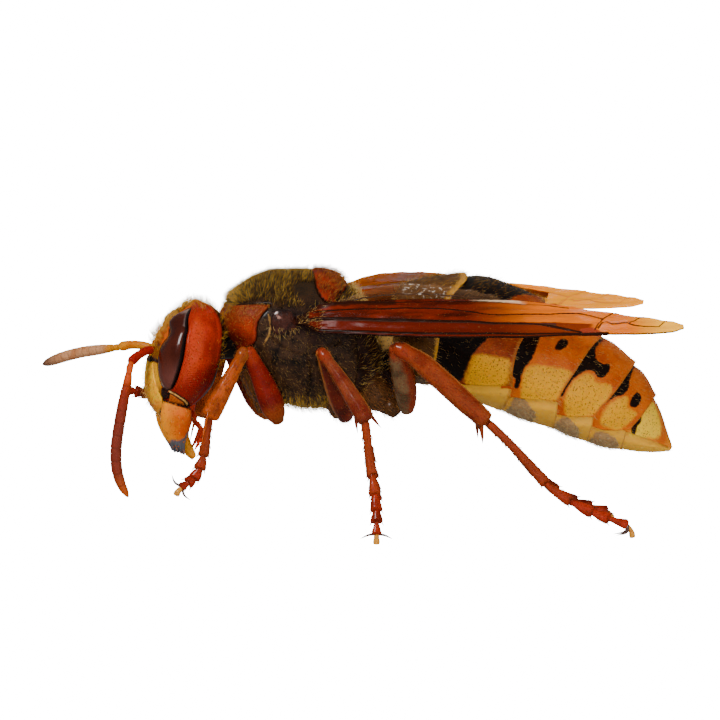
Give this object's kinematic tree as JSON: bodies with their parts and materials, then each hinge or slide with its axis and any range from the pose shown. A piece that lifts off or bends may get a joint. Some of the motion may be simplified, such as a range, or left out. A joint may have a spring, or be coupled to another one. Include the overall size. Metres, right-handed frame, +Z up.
{
  "type": "hornet",
  "caption": "Life-size still model of a hornet queen standing on her middle and hind legs, front legs raised, wings folded along the body",
  "frame": {"origin": "On the floor, below the middle of the insect's overall box", "axes": "+Z up, head towards -X, her left side towards -Y"},
  "size_m": [0.0394, 0.0187, 0.0168],
  "materials": {
    "head_shell": "semi-gloss rust-red shell with fine punctures",
    "eye": "polished dark maroon",
    "face_yellow": "semi-gloss warm yellow",
    "jaw": "glossy orange, dark at the teeth",
    "feeler": "satin chestnut",
    "thorax_red": "satin red-brown under short golden hair",
    "thorax_dark": "black-brown under short golden-brown hair",
    "tegula": "glossy dark brown",
    "abdomen_dark": "satin dark brown with a yellow rear rim",
    "abdomen_yellow": "satin yellow with orange and black marks",
    "wing": "clear amber membrane with dark red-brown veins",
    "leg": "glossy red-brown",
    "leg_dark": "dark brown, hairy"
  },
  "bodies": {
    "root": {"abdomen_segment_1": "abdomen_dark", "abdomen_segment_2": "abdomen_dark", "abdomen_segment_3": "abdomen_yellow", "abdomen_segment_4": "abdomen_yellow", "abdomen_segment_5": "abdomen_yellow", "abdomen_segment_6": "abdomen_yellow", "antenna_left_flagellum": "feeler", "antenna_left_scape": "feeler", "antenna_right_flagellum": "feeler", "antenna_right_scape": "feeler", "clypeus": "face_yellow", "eye_left": "eye", "eye_right": "eye", "forewing_left": "wing", "forewing_right": "wing", "front_left_coxa": "leg_dark", "front_left_femur": "leg", "front_left_tarsus": "leg", "front_left_tibia": "leg", "front_right_coxa": "leg_dark", "front_right_femur": "leg", "front_right_tarsus": "leg", "front_right_tibia": "leg", "head": "head_shell", "hind_left_coxa": "leg_dark", "hind_left_femur": "leg", "hind_left_tarsus": "leg", "hind_left_tibia": "leg", "hind_right_coxa": "leg_dark", "hind_right_femur": "leg", "hind_right_tarsus": "leg", "hind_right_tibia": "leg", "hindwing_left": "wing", "hindwing_right": "wing", "mandible_left": "jaw", "mandible_right": "jaw", "mesothorax": "thorax_dark", "middle_left_coxa": "leg_dark", "middle_left_femur": "leg", "middle_left_tarsus": "leg", "middle_left_tibia": "leg", "middle_right_coxa": "leg_dark", "middle_right_femur": "leg", "middle_right_tarsus": "leg", "middle_right_tibia": "leg", "mouthparts": "jaw", "neck": "thorax_dark", "pronotum": "thorax_red", "propodeum": "thorax_dark", "scutellum": "thorax_red", "tegula_left": "tegula", "tegula_right": "tegula"}
  },
  "joints": []
}
